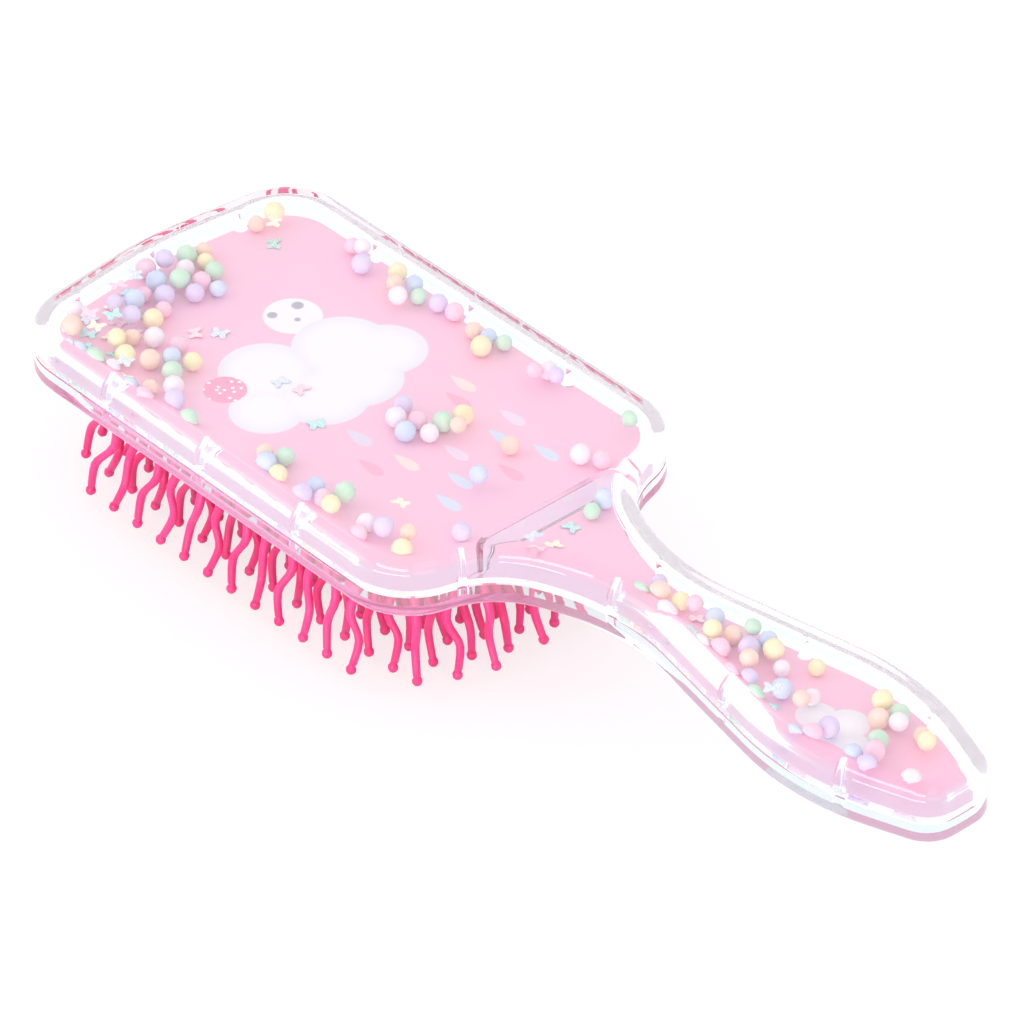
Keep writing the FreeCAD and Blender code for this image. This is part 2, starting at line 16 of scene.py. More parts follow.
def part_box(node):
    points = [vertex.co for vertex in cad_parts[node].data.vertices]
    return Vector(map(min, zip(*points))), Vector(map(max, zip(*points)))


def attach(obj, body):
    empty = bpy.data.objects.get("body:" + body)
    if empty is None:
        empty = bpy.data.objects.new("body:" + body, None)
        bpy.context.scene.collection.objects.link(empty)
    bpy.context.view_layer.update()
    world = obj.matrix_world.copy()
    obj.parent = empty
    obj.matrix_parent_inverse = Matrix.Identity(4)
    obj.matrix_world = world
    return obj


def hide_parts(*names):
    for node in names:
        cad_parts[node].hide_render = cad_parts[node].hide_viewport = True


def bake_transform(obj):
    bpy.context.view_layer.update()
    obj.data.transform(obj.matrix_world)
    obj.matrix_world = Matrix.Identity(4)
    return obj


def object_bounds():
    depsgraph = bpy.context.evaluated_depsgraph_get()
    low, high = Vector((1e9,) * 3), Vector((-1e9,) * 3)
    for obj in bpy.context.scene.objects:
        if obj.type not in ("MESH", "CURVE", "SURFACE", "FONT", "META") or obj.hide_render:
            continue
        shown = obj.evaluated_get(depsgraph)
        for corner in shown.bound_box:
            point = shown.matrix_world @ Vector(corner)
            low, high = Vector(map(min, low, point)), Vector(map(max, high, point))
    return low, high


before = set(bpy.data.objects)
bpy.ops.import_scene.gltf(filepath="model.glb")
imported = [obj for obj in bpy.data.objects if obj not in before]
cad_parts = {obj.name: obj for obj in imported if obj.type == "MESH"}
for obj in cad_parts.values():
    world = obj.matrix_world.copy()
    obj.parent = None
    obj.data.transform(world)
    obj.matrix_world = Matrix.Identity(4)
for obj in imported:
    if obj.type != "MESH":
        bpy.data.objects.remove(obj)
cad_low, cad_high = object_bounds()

LOG = logging.getLogger("hairbrush")
MM = 0.001
Colour = tuple[float, float, float]


def srgb(red: float, green: float, blue: float) -> Colour:
    """Turns a display colour into the linear one that shaders work with.

    Args:
        red, green, blue: Channels from 0 to 255.

    Returns:
        The same colour in linear light.
    """
    channels = (value / 255 for value in (red, green, blue))
    return tuple(c / 12.92 if c <= 0.04045 else ((c + 0.055) / 1.055) ** 2.4 for c in channels)


def opaque(colour: Colour) -> tuple[float, float, float, float]:
    """Adds a full alpha to a colour."""
    return (*colour, 1.0)


# --- shader trees ---------------------------------------------------------------------------------


class NodeBoard:
    """Places shader nodes in one tree and wires them."""

    def __init__(self, tree: bpy.types.NodeTree) -> None:
        """Empties a tree and keeps it.

        Args:
            tree: The tree of a material, a world or a node group.
        """
        self.tree = tree
        tree.nodes.clear()

    def add(
        self, kind: str, sockets: Mapping[str | int, object] | None = None, **settings: object,
    ) -> bpy.types.Node:
        """Adds one node.

        Args:
            kind: The node's type, without its ShaderNode prefix.
            sockets: Values for its inputs: numbers, colours, sockets, or nodes for their first output.
            **settings: Values for the node's own properties.

        Returns:
            The new node.
        """
        node = self.tree.nodes.new(f"ShaderNode{kind}")
        for name, value in settings.items():
            setattr(node, name, value)
        for key, value in (sockets or {}).items():
            self.feed(node.inputs[key], value)
        return node

    def feed(self, socket: bpy.types.NodeSocket, value: object) -> None:
        """Links a socket or a node's first output into an input, or sets the input's value.

        Args:
            socket: The input.
            value: What goes in.
        """
        if isinstance(value, bpy.types.Node):
            value = value.outputs[0]
        if isinstance(value, bpy.types.NodeSocket):
            self.tree.links.new(value, socket)
        else:
            socket.default_value = value

    def math(self, operation: str, *values: object, clamp: bool = False) -> bpy.types.NodeSocket:
        """A Math node's result.

        Args:
            operation: The Math node's operation.
            *values: Its inputs.
            clamp: Whether the result stays within 0 and 1.
        """
        node = self.add("Math", dict(enumerate(values)), operation=operation, use_clamp=clamp)
        return node.outputs[0]

    def mix(self, factor: object, first: object, second: object, blend: str = "MIX") -> bpy.types.NodeSocket:
        """A mixed colour.

        Args:
            factor: The second colour's share.
            first: The colour at 0.
            second: The colour at 1.
            blend: The blend type.
        """
        node = self.add("Mix", {0: factor, 6: first, 7: second}, data_type="RGBA", blend_type=blend)
        return node.outputs[2]

    def ramp(
        self, value: object, low: object, high: object, to_low: object = 0.0, to_high: object = 1.0,
    ) -> bpy.types.NodeSocket:
        """A clamped smooth step of a value from one range to another."""
        sockets = {0: value, 1: low, 2: high, 3: to_low, 4: to_high}
        return self.add("MapRange", sockets, interpolation_type="SMOOTHSTEP").outputs[0]

    def noise(self, place: object, scale: float, detail: float = 2.0) -> bpy.types.NodeSocket:
        """A noise texture's value at a place."""
        return self.add("TexNoise", {"Vector": place, "Scale": scale, "Detail": detail}).outputs[0]

    def place_mm(self) -> bpy.types.NodeSocket:
        """The place on the brush in millimetres."""
        coords = self.add("TexCoord").outputs["Object"]
        return self.add("VectorMath", {0: coords, "Scale": 1 / MM}, operation="SCALE").outputs[0]


@dataclass(frozen=True)
class GroupSocket:
    """One input or output of a shader node group."""

    name: str
    kind: str
    value: object = None


def open_group(
    name: str, inputs: Sequence[GroupSocket], outputs: Sequence[GroupSocket],
) -> tuple[NodeBoard, bpy.types.Node, bpy.types.Node]:
    """Starts a shader node group.

    Args:
        name: The group's name.
        inputs: Its inputs.
        outputs: Its outputs.

    Returns:
        The group's board, its input node and its output node.
    """
    tree = bpy.data.node_groups.new(name, "ShaderNodeTree")
    for sockets, side in ((inputs, "INPUT"), (outputs, "OUTPUT")):
        for item in sockets:
            made = tree.interface.new_socket(name=item.name, in_out=side, socket_type=f"NodeSocket{item.kind}")
            if item.value is not None:
                made.default_value = item.value
    board = NodeBoard(tree)
    return board, tree.nodes.new("NodeGroupInput"), tree.nodes.new("NodeGroupOutput")


class SharedEffects:
    """The node groups that several finishes use."""

    def __init__(self) -> None:
        """Builds every group once."""
        self.skin = self._moulded_skin()
        self.variation = self._colour_variation()
        self.disc = self._printed_disc()
        self.drop = self._printed_drop()

    def _moulded_skin(self) -> bpy.types.NodeTree:
        """Slow ripples, fine grain and rubbed spots of a moulded surface."""
        board, given, made = open_group(
            "moulded_skin",
            [GroupSocket("Place", "Vector"), GroupSocket("Ripple", "Float", 0.2), GroupSocket("Grain", "Float", 4.0),
             GroupSocket("Smooth", "Float", 0.02), GroupSocket("Rubbed", "Float", 0.1)],
            [GroupSocket("Height", "Float"), GroupSocket("Roughness", "Float")],
        )
        ripple = board.add(
            "TexNoise", {"Vector": given.outputs[0], "Scale": given.outputs[1], "Detail": 1.0},
        ).outputs[0]
        grain = board.add(
            "TexNoise", {"Vector": given.outputs[0], "Scale": given.outputs[2], "Detail": 3.0},
        ).outputs[0]
        height = board.math("ADD", board.math("MULTIPLY", ripple, 4.0), board.math("MULTIPLY", grain, 0.25))
        board.feed(made.inputs[0], height)
        rubbed = board.ramp(grain, 0.55, 0.8)
        board.feed(made.inputs[1], board.add("Mix", {0: rubbed, 2: given.outputs[3], 3: given.outputs[4]}).outputs[0])
        return board.tree

    def _colour_variation(self) -> bpy.types.NodeTree:
        """A colour that drifts a little lighter and darker from place to place."""
        board, given, made = open_group(
            "colour_variation",
            [GroupSocket("Place", "Vector"), GroupSocket("Colour", "Color"), GroupSocket("Other", "Color"),
             GroupSocket("Scale", "Float", 0.25), GroupSocket("Speckle", "Float", 6.0), GroupSocket("Amount", "Float", 0.5)],
            [GroupSocket("Colour", "Color")],
        )
        drift = board.add(
            "TexNoise", {"Vector": given.outputs[0], "Scale": given.outputs[3], "Detail": 1.0},
        ).outputs[0]
        speck = board.add(
            "TexNoise", {"Vector": given.outputs[0], "Scale": given.outputs[4], "Detail": 4.0},
        ).outputs[0]
        share = board.math(
            "ADD", board.ramp(drift, 0.3, 0.7, 0.0, 0.75), board.ramp(speck, 0.35, 0.7, 0.0, 0.25),
        )
        amount = board.math("MULTIPLY", share, given.outputs[5])
        board.feed(made.inputs[0], board.mix(amount, given.outputs[1], given.outputs[2]))
        return board.tree

    def _printed_disc(self) -> bpy.types.NodeTree:
        """A mask that is 1 inside a printed disc."""
        board, given, made = open_group(
            "printed_disc",
            [GroupSocket("Place", "Vector"), GroupSocket("Centre", "Vector"), GroupSocket("Radius", "Float", 5.0),
             GroupSocket("Softness", "Float", 0.3)],
            [GroupSocket("Mask", "Float")],
        )
        flat = board.add("VectorMath", {0: given.outputs[0], 1: (1.0, 1.0, 0.0)}, operation="MULTIPLY").outputs[0]
        away = board.add("VectorMath", {0: flat, 1: given.outputs[1]}, operation="DISTANCE").outputs["Value"]
        depth = board.math("SUBTRACT", given.outputs[2], away)
        board.feed(made.inputs[0], board.ramp(depth, 0.0, given.outputs[3]))
        return board.tree

    def _printed_drop(self) -> bpy.types.NodeTree:
        """A mask that is 1 inside a printed raindrop, its point towards -X."""
        board, given, made = open_group(
            "printed_drop",
            [GroupSocket("Place", "Vector"), GroupSocket("Centre", "Vector"), GroupSocket("Turn", "Float", 0.0),
             GroupSocket("Length", "Float", 6.0), GroupSocket("Width", "Float", 2.2)],
            [GroupSocket("Mask", "Float")],
        )
        turned = board.add(
            "VectorRotate", {"Vector": given.outputs[0], "Center": given.outputs[1], "Angle": given.outputs[2]},
            rotation_type="Z_AXIS",
        ).outputs[0]
        local = board.add("VectorMath", {0: turned, 1: given.outputs[1]}, operation="SUBTRACT").outputs[0]
        parts = board.add("SeparateXYZ", {0: local})
        along = board.math("ADD", board.math("DIVIDE", parts.outputs[0], given.outputs[3]), 0.5, clamp=True)
        across = board.math("ABSOLUTE", board.math("DIVIDE", parts.outputs[1], given.outputs[4]))
        belly = board.math("MULTIPLY", along, board.math("SQRT", board.math("SUBTRACT", 1.0, along)))
        depth = board.math("SUBTRACT", board.math("MULTIPLY", belly, 1.3), across)
        board.feed(made.inputs[0], board.ramp(depth, 0.0, 0.12))
        return board.tree


# --- finishes -------------------------------------------------------------------------------------


def new_material(name: str) -> tuple[bpy.types.Material, NodeBoard]:
    """An empty node material.

    Args:
        name: The material's name.

    Returns:
        The material and the board of its tree.
    """
    material = bpy.data.materials.new(name)
    material.use_nodes = True
    return material, NodeBoard(material.node_tree)


@dataclass(frozen=True)
class ClearPlastic:
    """Polished clear plastic. Lamp light goes straight through it, and so does a ray that has bounced once. Its
    upright faces carry a faint white painted glow.
    """

    tint: Colour = srgb(254, 253, 254)
    edge_tint: Colour = srgb(226, 244, 246)
    # painted glow: the colour and strength of a faint white light emitted by the upright faces, which are no lamp
    painted_glow: Colour = srgb(246, 248, 250)
    painted_glow_strength: float = 0.065
    ior: float = 1.49
    smooth: float = 0.0
    rubbed: float = 0.06
    ripple_height: float = 0.02

    def material(self, name: str, effects: SharedEffects) -> bpy.types.Material:
        """Builds the material.

        Args:
            name: The material's name.
            effects: The shared node groups.

        Returns:
            The material.
        """
        material, board = new_material(name)
        place = board.place_mm()
        skin = board.add("Group", node_tree=effects.skin)
        values = {"Place": place, "Ripple": 0.06, "Grain": 1.5, "Smooth": self.smooth, "Rubbed": self.rubbed}
        for key, value in values.items():
            board.feed(skin.inputs[key], value)
        bump = board.add(
            "Bump", {"Height": skin.outputs["Height"], "Strength": 0.25, "Distance": self.ripple_height * MM},
        )
        normal = board.add("SeparateXYZ", {0: board.add("NewGeometry").outputs["Normal"]})
        lie = board.math("ABSOLUTE", normal.outputs[2])
        upright = board.ramp(lie, 0.75, 0.25)
        # painted glow: only the upright faces emit this faint white light
        painted_glow = board.mix(upright, (0.0, 0.0, 0.0, 1.0), opaque(self.painted_glow))
        tint = board.mix(upright, opaque(self.tint), opaque(self.edge_tint))
        body = board.add("BsdfPrincipled", {
            "Base Color": tint, "Roughness": skin.outputs["Roughness"], "IOR": self.ior,
            "Transmission Weight": 1.0, "Normal": bump,
            "Emission Color": painted_glow, "Emission Strength": self.painted_glow_strength,
        })
        path = board.add("LightPath").outputs
        clear = board.add("BsdfTransparent", {"Color": opaque(self.tint)})
        bent = board.add("MixShader", {0: path["Is Reflection Ray"], 1: body, 2: clear})
        both = board.add("MixShader", {0: path["Is Shadow Ray"], 1: bent, 2: clear})
        board.add("OutputMaterial", {"Surface": both})
        return material


@dataclass(frozen=True)
class MouldedFinish:
    """An opaque moulded plastic, foam or rubber with drifting colour and a fine skin."""

    colour: Colour
    other: Colour
    smooth: float
    rubbed: float
    grain: float
    grain_height: float
    drift: float = 0.1
    specular: float = 0.5
    translucence: float = 0.0
    translucence_depth: float = 1.0
    coat: float = 0.0

    def material(self, name: str, effects: SharedEffects) -> bpy.types.Material:
        """Builds the material.

        Args:
            name: The material's name.
            effects: The shared node groups.

        Returns:
            The material.
        """
        material, board = new_material(name)
        place = board.place_mm()
        colour = board.add("Group", node_tree=effects.variation)
        values = {"Place": place, "Colour": opaque(self.colour), "Other": opaque(self.other), "Scale": self.drift,
                  "Speckle": self.grain, "Amount": 1.0}
        for key, value in values.items():
            board.feed(colour.inputs[key], value)
        skin = board.add("Group", node_tree=effects.skin)
        values = {"Place": place, "Ripple": self.drift, "Grain": self.grain, "Smooth": self.smooth, "Rubbed": self.rubbed}
        for key, value in values.items():
            board.feed(skin.inputs[key], value)
        bump = board.add(
            "Bump", {"Height": skin.outputs["Height"], "Strength": 0.4, "Distance": self.grain_height * MM},
        )
        body = board.add("BsdfPrincipled", {
            "Base Color": colour, "Roughness": skin.outputs["Roughness"], "Specular IOR Level": self.specular,
            "Subsurface Weight": self.translucence, "Subsurface Scale": self.translucence_depth * MM,
            "Coat Weight": self.coat, "Normal": bump,
        })
        board.add("OutputMaterial", {"Surface": body})
        return material


@dataclass(frozen=True)
class FoilFinish:
    """Thin iridescent foil, whose base colour is painted with paler patches of flash: a painted sheen."""

    colour: Colour
    painted_flash: Colour
    sparkle: float = 1.4

    def material(self, name: str, effects: SharedEffects) -> bpy.types.Material:
        """Builds the material.

        Args:
            name: The material's name.
            effects: The shared node groups.

        Returns:
            The material.
        """
        material, board = new_material(name)
        place = board.place_mm()
        # painted sheen: paler flash patches are mixed into the foil's base colour
        colour = board.add("Group", node_tree=effects.variation)
        values = {"Place": place, "Colour": opaque(self.colour), "Other": opaque(self.painted_flash), "Scale": self.sparkle,
                  "Speckle": 9.0, "Amount": 1.0}
        for key, value in values.items():
            board.feed(colour.inputs[key], value)
        crinkle = board.noise(place, 2.2)
        bump = board.add("Bump", {"Height": crinkle, "Strength": 0.5, "Distance": 0.15 * MM})
        body = board.add("BsdfPrincipled", {
            "Base Color": colour, "Metallic": 0.35, "Roughness": board.ramp(crinkle, 0.3, 0.7, 0.18, 0.38),
            "Coat Weight": 0.5, "Coat Roughness": 0.08, "Normal": bump,
        })
        board.add("OutputMaterial", {"Surface": body})
        return material


@dataclass(frozen=True)
class PrintedDisc:
    """A round printed spot, in millimetres on the card."""

    x: float
    y: float
    radius: float


@dataclass(frozen=True)
class PrintedDrop:
    """A printed raindrop, in millimetres on the card."""

    x: float
    y: float
    colour: Colour
    turn: float = 0.0
    length: float = 7.6
    width: float = 3.1


CREAM = srgb(250, 236, 224)
ROSE = srgb(252, 178, 206)
PALE_LILAC = srgb(246, 228, 246)
MIST = srgb(228, 228, 244)
SKY = srgb(216, 236, 252)


@dataclass(frozen=True)
class CardPrint:
    """Pink card printed with clouds, a pale moon, a dotted disc and raindrops."""

    pink: Colour = srgb(255, 204, 226)
    deep_pink: Colour = srgb(253, 188, 216)
    white: Colour = srgb(253, 252, 254)
    shade: Colour = srgb(243, 241, 248)
    crater: Colour = srgb(176, 178, 190)
    disc_pink: Colour = srgb(252, 165, 196)
    clouds: tuple[PrintedDisc, ...] = (
        PrintedDisc(-64.0, -15.5, 7.8), PrintedDisc(-60.0, -4.0, 9.6), PrintedDisc(-60.5, 5.0, 10.0),
        PrintedDisc(-63.5, 16.0, 8.6), PrintedDisc(-70.0, 10.0, 10.5), PrintedDisc(-74.0, -7.0, 9.8),
        PrintedDisc(80.0, -1.5, 4.2), PrintedDisc(86.0, 1.0, 4.8), PrintedDisc(91.0, -2.5, 3.6),
        PrintedDisc(85.0, -4.0, 4.0),
    )
    moon: PrintedDisc = PrintedDisc(-84.5, 9.5, 6.2)
    craters: tuple[PrintedDisc, ...] = (
        PrintedDisc(-87.5, 6.6, 1.3), PrintedDisc(-86.6, 12.6, 1.5), PrintedDisc(-83.0, 9.4, 0.9),
    )
    dotted: PrintedDisc = PrintedDisc(-74.8, -17.0, 4.6)
    drops: tuple[PrintedDrop, ...] = (
        PrintedDrop(-45.0, 19.7, CREAM), PrintedDrop(-41.5, 15.2, ROSE), PrintedDrop(-30.1, 19.4, PALE_LILAC),
        PrintedDrop(-45.4, -7.7, MIST), PrintedDrop(-26.6, 13.3, SKY), PrintedDrop(-17.0, 16.6, SKY),
        PrintedDrop(-28.9, 3.3, PALE_LILAC), PrintedDrop(-33.0, -6.2, CREAM), PrintedDrop(-36.4, -12.5, ROSE),
        PrintedDrop(-16.8, 7.0, ROSE), PrintedDrop(-21.5, -2.3, SKY), PrintedDrop(-17.7, -8.8, SKY),
    )

    def _disc(
        self, board: NodeBoard, effects: SharedEffects, place: object, disc: PrintedDisc, softness: float,
    ) -> bpy.types.NodeSocket:
        """The mask of one printed disc."""
        group = board.add("Group", node_tree=effects.disc)
        values = {"Place": place, "Centre": (disc.x, disc.y, 0.0), "Radius": disc.radius, "Softness": softness}
        for key, value in values.items():
            board.feed(group.inputs[key], value)
        return group.outputs[0]

    def material(self, name: str, effects: SharedEffects) -> bpy.types.Material:
        """Builds the material.

        Args:
            name: The material's name.
            effects: The shared node groups.

        Returns:
            The material.
        """
        material, board = new_material(name)
        place = board.place_mm()
        ground = board.add("Group", node_tree=effects.variation)
        values = {"Place": place, "Colour": opaque(self.pink), "Other": opaque(self.deep_pink), "Scale": 0.015,
                  "Speckle": 5.0, "Amount": 0.6}
        for key, value in values.items():
            board.feed(ground.inputs[key], value)
        colour = ground.outputs[0]
        colour = board.mix(self._disc(board, effects, place, self.moon, 0.35), colour, opaque(self.white))
        for crater in self.craters:
            colour = board.mix(self._disc(board, effects, place, crater, 0.5), colour, opaque(self.crater))
        cloud, core = 0.0, 0.0
        for puff in self.clouds:
            cloud = board.math("MAXIMUM", cloud, self._disc(board, effects, place, puff, 0.4))
            core = board.math("MAXIMUM", core, self._disc(board, effects, place, puff, 4.5))
        colour = board.mix(cloud, colour, board.mix(core, opaque(self.shade), opaque(self.white)))
        cells = board.add("TexVoronoi", {"Vector": place, "Scale": 0.45}, voronoi_dimensions="2D")
        dot = board.ramp(cells.outputs["Distance"], 0.2, 0.14)
        dotted = board.mix(dot, opaque(self.disc_pink), opaque(self.white))
        colour = board.mix(self._disc(board, effects, place, self.dotted, 0.35), colour, dotted)
        for drop in self.drops:
            group = board.add("Group", node_tree=effects.drop)
            values = {"Place": place, "Centre": (drop.x, drop.y, 30.5), "Turn": drop.turn, "Length": drop.length,
                      "Width": drop.width}
            for key, value in values.items():
                board.feed(group.inputs[key], value)
            colour = board.mix(board.math("MULTIPLY", group.outputs[0], 0.85), colour, opaque(drop.colour))
        fibre = board.noise(place, 6.0, 4.0)
        bump = board.add("Bump", {"Height": fibre, "Strength": 0.15, "Distance": 0.03 * MM})
        body = board.add("BsdfPrincipled", {
            "Base Color": colour, "Roughness": board.ramp(fibre, 0.3, 0.7, 0.42, 0.55),
            "Specular IOR Level": 0.35, "Normal": bump,
        })
        board.add("OutputMaterial", {"Surface": body})
        return material


# --- meshes ---------------------------------------------------------------------------------------


def make_piece(
    bm: bmesh.types.BMesh, name: str, material: bpy.types.Material, smooth: bool = True,
) -> bpy.types.Object:
    """Turns a bmesh into an object at the origin, with outward faces.

    Args:
        bm: The mesh, in the brush's frame. It is freed.
        name: The object's name.
        material: Its finish.
        smooth: Whether its faces are shaded smooth.

    Returns:
        The object, in the scene.
    """
    bmesh.ops.recalc_face_normals(bm, faces=bm.faces)
    for face in bm.faces:
        face.smooth = smooth
    mesh = bpy.data.meshes.new(name)
    bm.to_mesh(mesh)
    bm.free()
    mesh.materials.append(material)
    piece = bpy.data.objects.new(name, mesh)
    bpy.context.scene.collection.objects.link(piece)
    return piece


def islands(node: str) -> Iterator[list[Vector]]:
    """Walks the separate solids of a CAD node.

    Args:
        node: The node's name.

    Yields:
        Each solid's vertex places.
    """
    bm = bmesh.new()
    bm.from_mesh(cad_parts[node].data)
    bmesh.ops.remove_doubles(bm, verts=bm.verts, dist=0.001 * MM)
    left = set(bm.verts)
    while left:
        todo = [left.pop()]
        found = []
        while todo:
            vert = todo.pop()
            found.append(vert.co.copy())
            for edge in vert.link_edges:
                other = edge.other_vert(vert)
                if other in left:
                    left.remove(other)
                    todo.append(other)
        yield found
    bm.free()


# --- sub-assemblies -------------------------------------------------------------------------------


@dataclass
class ClearCase:
    """The two clear shells, which keep their CAD meshes and get their finish here."""

    finish: ClearPlastic = ClearPlastic()
    shells: tuple[str, ...] = ("back_shell", "front_shell")

    def dress(self, effects: SharedEffects) -> None:
        """Gives both shells the clear finish."""
        material = self.finish.material("clear_case_plastic", effects)
        for shell in self.shells:
            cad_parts[shell].material_slots[0].material = material
            LOG.info("%s dressed", shell)


@dataclass
class Cards:
    """The printed cards and the plate behind the cushion."""

    printed: CardPrint = CardPrint()
    plate: MouldedFinish = MouldedFinish(
        srgb(255, 176, 212), srgb(250, 160, 202), smooth=0.3, rubbed=0.5, grain=3.0, grain_height=0.03,
    )

    def dress(self, effects: SharedEffects) -> None:
        """Gives the cards their print and the plate its plastic."""
        paper = self.printed.material("printed_card_paper", effects)
        for card in ("head_card", "handle_card"):
            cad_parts[card].material_slots[0].material = paper
            LOG.info("%s printed", card)
        plastic = self.plate.material("base_plate_plastic", effects)
        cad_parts["base_plate"].material_slots[0].material = plastic
        LOG.info("base_plate dressed")


class FoamColour(Enum):
    """The beads' colours, each with a lighter or warmer one that it drifts to."""

    PINK = (srgb(255, 206, 224), srgb(255, 216, 232))
    LILAC = (srgb(222, 210, 244), srgb(232, 222, 248))
    BLUE = (srgb(206, 224, 252), srgb(218, 232, 254))
    MINT = (srgb(196, 236, 206), srgb(212, 242, 218))
    YELLOW = (srgb(252, 243, 190), srgb(253, 246, 206))
    PEACH = (srgb(254, 218, 198), srgb(255, 228, 210))
    WHITE = (srgb(252, 236, 245), srgb(250, 244, 249))


@dataclass
class FoamBeads:
    """The loose foam beads of one colour."""

    colour: FoamColour
    seed: int = 3

    @property
    def node(self) -> str:
        """The CAD node that holds these beads."""
        return f"beads_{self.colour.name.lower()}"

    def build(self, material: bpy.types.Material) -> bpy.types.Object:
        """Models each bead as a slightly uneven ball.

        Args:
            material: The beads' foam.

        Returns:
            The beads, as one piece.
        """
        chance = random.Random(self.seed)
        bm = bmesh.new()
        for points in islands(self.node):
            low = Vector(map(min, zip(*points)))
            high = Vector(map(max, zip(*points)))
            size = (high - low).x / 2
            turn = Euler([chance.uniform(0, math.tau) for _ in range(3)]).to_matrix().to_4x4()
            uneven = Matrix.Diagonal([chance.uniform(0.97, 1.0) for _ in range(3)]).to_4x4()
            place = Matrix.Translation((low + high) / 2) @ turn @ uneven
            bmesh.ops.create_icosphere(bm, subdivisions=2, radius=size, matrix=place)
        return make_piece(bm, f"{self.node}_foam", material)

    def dress(self, effects: SharedEffects) -> None:
        """Builds the beads in place of their CAD solids and gives them their foam."""
        first, second = self.colour.value
        foam = MouldedFinish(
            first, second, smooth=0.45, rubbed=0.6, grain=3.5, grain_height=0.08, drift=0.35, specular=0.4,
            translucence=0.25, translucence_depth=0.8,
        )
        piece = self.build(foam.material(f"foam_{self.colour.name.lower()}_skin", effects))
        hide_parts(self.node)
        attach(piece, "case")
        LOG.info("%s: %d faces", piece.name, len(piece.data.polygons))


class FoilColour(Enum):
    """The confetti's colours, each with the paler colour of its painted flash patches, a painted sheen."""

    TEAL = (srgb(165, 226, 228), srgb(206, 240, 226))
    GOLD = (srgb(246, 236, 200), srgb(252, 244, 226))
    PINK = (srgb(250, 200, 220), srgb(253, 224, 226))
    SILVER = (srgb(210, 214, 240), srgb(222, 242, 236))


@dataclass
class Confetti:
    """The foil butterflies, which keep their CAD meshes."""

    def dress(self, effects: SharedEffects) -> None:
        """Gives each colour of confetti its foil."""
        for colour in FoilColour:
            name = colour.name.lower()
            foil = FoilFinish(*colour.value)
            sheet = foil.material(f"foil_{name}_sheet", effects)
            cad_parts[f"confetti_{name}"].material_slots[0].material = sheet
            LOG.info("confetti_%s dressed", name)


